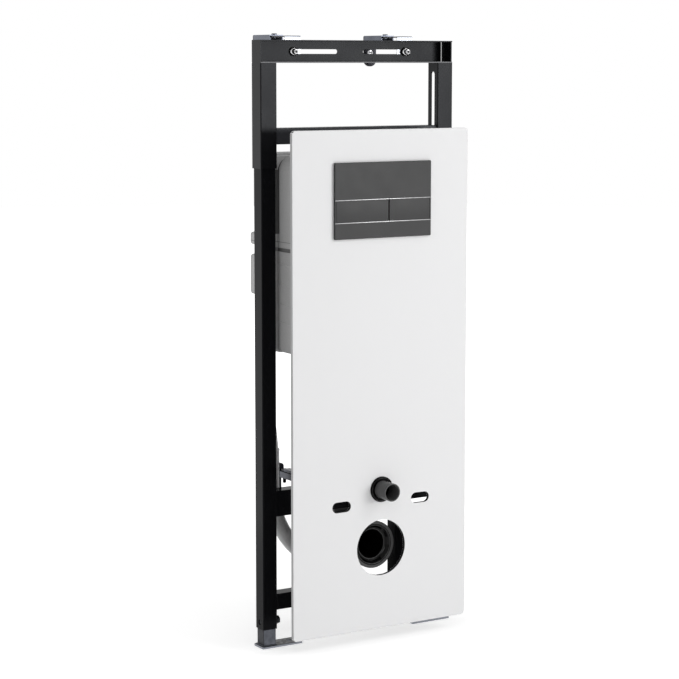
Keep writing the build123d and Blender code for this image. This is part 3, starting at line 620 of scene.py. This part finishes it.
# %% [markdown]
# ## Wall screws
# One pan head screw goes through each wall plate. It is seen through the long slot of the top rail as
# a small bright disc. The head is turned with a dish in its middle, and two crossed bars in the dish give
# the cross. A cut recess would take a boolean, and at this size it would look the same.

# %% Make the wall screws
def screw_head(radius, height):
    shares = [(0, 0), (1, 0), (1, 0.35), (0.8, 0.85), (0.45, 1), (0.4, 0.45), (0, 0.3)]
    dome = turned([(radius * across, height * up) for across, up in shares])
    bars = []
    bar_size = (radius * 0.8 * MM, radius * 0.16 * MM, height * 0.3 * MM)
    for turn_by in (0, math.pi / 2):
        bar = bmesh.new()
        bmesh.ops.create_cube(bar, size=1)
        bmesh.ops.scale(bar, vec=bar_size, verts=bar.verts[:])
        rolled(bar, bar.edges[:], 0.1, segments=1)
        bmesh.ops.translate(bar, vec=(0, 0, height * 0.45 * MM), verts=bar.verts[:])
        bmesh.ops.rotate(bar, cent=(0, 0, 0), matrix=Matrix.Rotation(turn_by, 3, "Z"), verts=bar.verts[:])
        bars.append(bar)
    return gather(dome, *bars)


screw_height = 1.316
for side in sides:
    low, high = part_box(f"{side}_wall_channel")
    face = high.y - 0.0025
    screw = aimed(screw_head(7.0, 3.6), ((low.x + high.x) / 2, face, screw_height), (0, -1, 0))
    piece(f"{side}_wall_screw", screw, f"{side}_channel", nickel)

# %% [markdown]
# ## Button faces
# The two flush buttons are one moulded bar, cut once off centre. The real ones have a softly rolled edge
# that catches a thin line of light. Each new button starts from a cube with the solid's own size, so it
# stays inside it, and its front edges are rolled over.

# %% Make the buttons
def block(low, high):
    shape = bmesh.new()
    bmesh.ops.create_cube(shape, size=1)
    bmesh.ops.scale(shape, vec=high - low, verts=shape.verts[:])
    bmesh.ops.translate(shape, vec=(low + high) / 2, verts=shape.verts[:])
    return shape


for name in ("large_button", "small_button"):
    low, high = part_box(name)
    shape = block(low, high)
    front = [edge for edge in shape.edges if all(abs(v.co.y - low.y) < 1e-6 for v in edge.verts)]
    rolled(shape, front, 0.9, segments=4)
    piece(f"{name}_face", shape, name, plate_plastic, [name], sharp=60)

# %% [markdown]
# ## Painted highlight lines on the flush plate
# Two thin bright strips, painted highlights for the lit edges of the button row, part the upper field, the
# row of buttons and the lower field. They lie in the joints, level with the plate's face, and run from edge to
# edge.

# %% Make the strips of painted highlight
plate_low, plate_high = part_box("flush_plate")
button_low, button_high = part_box("large_button")
for name, height in (("upper_strip", button_high.z + 0.0003), ("lower_strip", button_low.z - 0.0003)):
    reach = Vector((plate_high.x - 0.0007, 0, 0))
    middle = Vector((0, plate_low.y, height))
    strip = block(middle - reach - Vector((0, 0.0001, 0.0007)), middle + reach + Vector((0, 0.004, 0.0007)))
    rolled(strip, strip.edges[:], 0.15)
    piece(name, strip, "frame", painted_highlight_line)

# %% [markdown]
# ## Seal in the waste socket
# The bowl's waste pipe slides into a rubber lip seal. It sits in the socket's mouth, with two lips that
# lean inwards. The profile is drawn once and spun round the pipe's axis.

# %% Make the seal
socket_low, socket_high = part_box("waste_socket")
waste_height = (socket_low.z + socket_high.z) / 2
outer_lip = [(43.3, 0.6), (44.0, 0.2), (47.0, 0.1), (47.8, 0.8), (47.0, 1.6), (44.0, 1.8), (42.8, 4.2)]
outer_lip += [(39.0, 6.8), (38.2, 6.4), (41.2, 3.2), (43.3, 0.6)]
inner_lip = [(43.2, 7.0), (43.2, 10.2), (38.0, 10.3), (35.2, 9.6), (34.8, 8.8)]
inner_lip += [(36.0, 8.6), (41.5, 7.2), (43.2, 7.0)]
seal = turned(outer_lip, steps=96)
lip = turned(inner_lip, steps=96)
seal = aimed(gather(seal, lip), (0, socket_low.y - 0.0002, waste_height), (0, 1, 0))
piece("waste_seal", seal, "frame", rubber_and_shade)

# %% [markdown]
# ## Rings and socket on the drain pipe
# Plastic pipes are pushed together in sockets whose mouths have a raised bead. One bead goes round each
# end of the drain's collar. Below the collar the socket of the lower length goes on behind the stud rail.

# %% Make the beads and the socket
def bead(radius, width, height):
    root, shoulder = radius - 0.4, radius + height * 0.7
    rise = [(root, 0), (shoulder, width * 0.15), (radius + height, width * 0.5)]
    return turned(rise + [(shoulder, width * 0.85), (root, width), (root, 0)])


collar_low, collar_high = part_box("drain_collar")
collar_middle = (collar_low + collar_high) / 2
bead_heights = {"collar_upper_bead": collar_high.z - 0.0035, "collar_lower_bead": collar_low.z + 0.0005}
for name, height in bead_heights.items():
    ring = aimed(bead(20.5, 3.0, 0.7), (collar_middle.x, collar_middle.y, height), (0, 0, 1))
    piece(name, ring, "frame", pipe_plastic)
socket_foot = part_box("stud_rail")[1].z - 0.012
socket_length = (collar_low.z - socket_foot) / MM
mouth = turned([(18.1, 0), (20.3, 0), (20.3, socket_length), (18.1, socket_length), (18.1, 0)])
mouth = aimed(mouth, (collar_middle.x, collar_middle.y, socket_foot), (0, 0, 1))
piece("drain_socket", mouth, "frame", pipe_plastic)

# %% [markdown]
# ## Rolled rim on the flush sleeve
# The flange of the flush sleeve has a rolled rim that seals on the panel. It is gloss black, so the lamps
# show on it as thin arcs.

# %% Make the rim
sleeve_low, sleeve_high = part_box("flush_sleeve")
sleeve_middle = (sleeve_low + sleeve_high) / 2
crown = [(22.6, -0.5), (22.8, 0.6), (23.6, 1.4), (25.0, 1.8), (26.6, 1.6), (27.7, 0.8)]
crown += [(28.1, -0.5), (22.6, -0.5)]
rim = turned(crown, steps=96)
rim = aimed(rim, (sleeve_middle.x, panel_low.y - 0.0045, sleeve_middle.z), (0, -1, 0))
piece("flush_sleeve_rim", rim, "frame", rubber_and_shade, sharp=80)

# %% [markdown]
# ## Ribs on the cistern
# The cistern is insulated, and its shell is stiffened with low ribs that run forwards and slightly down.
# One rib is a bar with rolled edges; it is made four times on the left side and mirrored to the right.

# %% Make the ribs
shell_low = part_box("cistern_shell")[0]
rib_heights = (0.855, 0.812, 0.766, 0.727)
rib_slope = Matrix.Rotation(math.radians(6), 3, "X")
ribs = bmesh.new()
for height in rib_heights:
    bar_low = Vector((shell_low.x - 0.0012, shell_low.y + 0.012, height - 0.0022))
    bar = block(bar_low, Vector((shell_low.x + 0.001, -0.008, height + 0.0022)))
    rolled(bar, bar.edges[:], 0.8)
    bmesh.ops.rotate(bar, cent=(shell_low.x, -0.04, height), matrix=rib_slope, verts=bar.verts[:])
    ribs = gather(ribs, bar)
bmesh.ops.mirror(ribs, geom=ribs.verts[:] + ribs.edges[:] + ribs.faces[:], axis="X", matrix=Matrix())
bmesh.ops.recalc_face_normals(ribs, faces=ribs.faces[:])
piece("cistern_ribs", ribs, "frame", cistern_plastic)

# %% [markdown]
# ## Welds
# The rails are welded between the posts, and each foot tube to its plate. A weld bead is a row of small
# overlapping drops, each a ball that is half sunk in the joint. One helper lays such a row along a line.

# %% Lay a row of drops
def weld(shape, start, end, radius=1.4, pitch=2.2):
    start, end = Vector(start), Vector(end)
    count = max(2, round((end - start).length / (pitch * MM)))
    for number in range(count):
        place = Matrix.Translation(start.lerp(end, (number + 0.5) / count))
        drop = bmesh.new()
        bmesh.ops.create_uvsphere(drop, u_segments=8, v_segments=5, radius=radius * MM, matrix=place)
        shape = gather(shape, drop)
    return shape


# %% Weld the feet
weld_height = 0.0052
inset = 0.0002
for side in sides:
    low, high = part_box(f"{side}_foot_tube")
    near_x, far_x = low.x + inset, high.x - inset
    near_y, far_y = low.y + inset, high.y - inset
    corners = [(near_x, near_y), (far_x, near_y), (far_x, far_y), (near_x, far_y)]
    row = bmesh.new()
    for here, there in zip(corners, corners[1:] + corners[:1]):
        row = weld(row, (*here, weld_height), (*there, weld_height))
    piece(f"{side}_foot_weld", row, "feet", galvanised)

# %% Weld the rails
for name, body, material in (
    ("lower_cross_rail", "frame", frame_paint),
    ("stud_rail", "frame", frame_paint),
    ("upper_cross_rail", "upper_frame", cross_paint),
):
    low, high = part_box(name)
    row = bmesh.new()
    for x in (low.x + 0.0004, high.x - 0.0004):
        row = weld(row, (x, low.y + 0.0006, low.z + 0.002), (x, low.y + 0.0006, high.z - 0.002), radius=1.1)
        row = weld(row, (x, high.y - 0.0006, low.z + 0.002), (x, high.y - 0.0006, high.z - 0.002), radius=1.1)
        row = weld(row, (x, low.y + 0.002, low.z + 0.0006), (x, high.y - 0.002, low.z + 0.0006), radius=1.1)
    piece(f"{name}_weld", row, body, material)

# %% [markdown]
# ## Floor
# The floor is one large pale disc. It takes the frame's shadow. To the camera it also gives off a little
# light, which brings it up to the white of the photograph's ground and grows away from the frame, so that
# the shadow stays soft and the edge of the disc is not seen. Glossy surfaces see it as white.

# %% Make the disc
floor_shape = bmesh.new()
bmesh.ops.create_circle(floor_shape, cap_ends=True, segments=96, radius=14)
floor_mesh = bpy.data.meshes.new("floor")
floor_shape.to_mesh(floor_mesh)
floor_shape.free()
floor = bpy.data.objects.new("floor", floor_mesh)
scene.collection.objects.link(floor)
floor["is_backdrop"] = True
print("floor", round(floor.dimensions.x, 1), "m across")

# %% Give the floor its finish
floor_finish = finish("floor_finish", specular=0.0)
vary_colour(floor_finish, grey(0.84), grey(0.86), 0.5)
vary_roughness(floor_finish, 0.8, 0.9, 1)
rays = node(floor_finish, "ShaderNodeLightPath")
floor_shader = floor_finish.node_tree.nodes["Principled BSDF"]
glow = node(floor_finish, "ShaderNodeEmission")
either = node(floor_finish, "ShaderNodeMath", operation="MAXIMUM")
share = node(floor_finish, "ShaderNodeMath", operation="MULTIPLY")
place = node(floor_finish, "ShaderNodeTexCoord")
away = node(floor_finish, "ShaderNodeVectorMath", operation="LENGTH")
near_edge, far_edge = 0.6, 2.4
shade_glow, full_glow = 0.52, 1.0
span = node(floor_finish, "ShaderNodeMapRange")
span.inputs["From Min"].default_value = near_edge
span.inputs["From Max"].default_value = far_edge
span.inputs["To Min"].default_value = shade_glow
span.inputs["To Max"].default_value = full_glow
link(floor_finish, place, "Object", away, "Vector")
link(floor_finish, away, "Value", span, "Value")
link(floor_finish, span, "Result", share, 1)
both = node(floor_finish, "ShaderNodeAddShader")
link(floor_finish, rays, "Is Camera Ray", share, 0)
link(floor_finish, share, "Value", either, 0)
link(floor_finish, rays, "Is Glossy Ray", either, 1)
link(floor_finish, either, "Value", glow, "Strength")
link(floor_finish, floor_shader, "BSDF", both, 0)
link(floor_finish, glow, "Emission", both, 1)
link(floor_finish, both, "Shader", floor_finish.node_tree.nodes["Material Output"], "Surface")
floor_mesh.materials.append(floor_finish)
print("floor glow from", shade_glow, "near the frame to", full_glow, "beyond", far_edge, "m")

# %% [markdown]
# ## Light
# The light is a pale surround with five soft lamps. The key lamp stands high at the right, a small fill
# at the left and a weak strip near the floor. A wide one at the right mirrors in the upper fronts of the
# black posts, and a tall one behind at the left in their sides. Glossy surfaces see the surround as white.

# %% Light the scene
scene.view_settings.view_transform = "Standard"
world = bpy.data.worlds.new("surround")
scene.world = world
world.use_nodes = True
sky = world.node_tree.nodes["Background"]
sky.inputs["Color"].default_value = (1, 1, 1, 1)
lighting_strength, seen_strength = 0.5, 1.0
rays = node(world, "ShaderNodeLightPath")
seen = node(world, "ShaderNodeMath", operation="MAXIMUM")
also_seen = node(world, "ShaderNodeMath", operation="MAXIMUM")
level = node(world, "ShaderNodeMapRange")
level.inputs["To Min"].default_value = lighting_strength
level.inputs["To Max"].default_value = seen_strength
link(world, rays, "Is Camera Ray", seen, 0)
link(world, rays, "Is Glossy Ray", seen, 1)
link(world, seen, "Value", also_seen, 0)
link(world, rays, "Is Transmission Ray", also_seen, 1)
link(world, also_seen, "Value", level, "Value")
link(world, level, "Result", sky, "Strength")
print("surround", lighting_strength, "as light and", seen_strength, "as seen")


# %% Set the lamps
def soft_lamp(name, place, target, width, height, power):
    lamp = bpy.data.lights.new(name, "AREA")
    lamp.shape = "RECTANGLE"
    lamp.size, lamp.size_y, lamp.energy = width, height, power
    stand = bpy.data.objects.new(name, lamp)
    scene.collection.objects.link(stand)
    stand.location = place
    stand.rotation_euler = (Vector(target) - Vector(place)).to_track_quat("-Z", "Y").to_euler()
    stand.visible_camera = False
    print(name, power, "W")


soft_lamp("key_lamp", (1.9, -2.7, 2.5), (0, 0, 0.5), 1.5, 1.5, 25)
soft_lamp("fill_lamp", (-2.2, -3.3, 2.9), (-0.1, 0, 0.8), 0.16, 0.16, 12)
soft_lamp("low_lamp", (0.1, -1.9, 0.12), (0, -0.1, 0.2), 1.6, 0.2, 3)
soft_lamp("front_lamp", (2.5, -4.28, 1.205), (0, 0, 1.205), 1.9, 0.66, 64)
soft_lamp("side_lamp", (-0.86, 0.95, 0.7), (-0.25, 0, 0.7), 0.75, 1.5, 3.3)

# %% Write the sizes and finish
visual_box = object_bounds()
growth = (visual_box[1] - visual_box[0]) - (cad_box[1] - cad_box[0])
print("grown by", [round(1000 * by, 2) for by in growth], "mm")
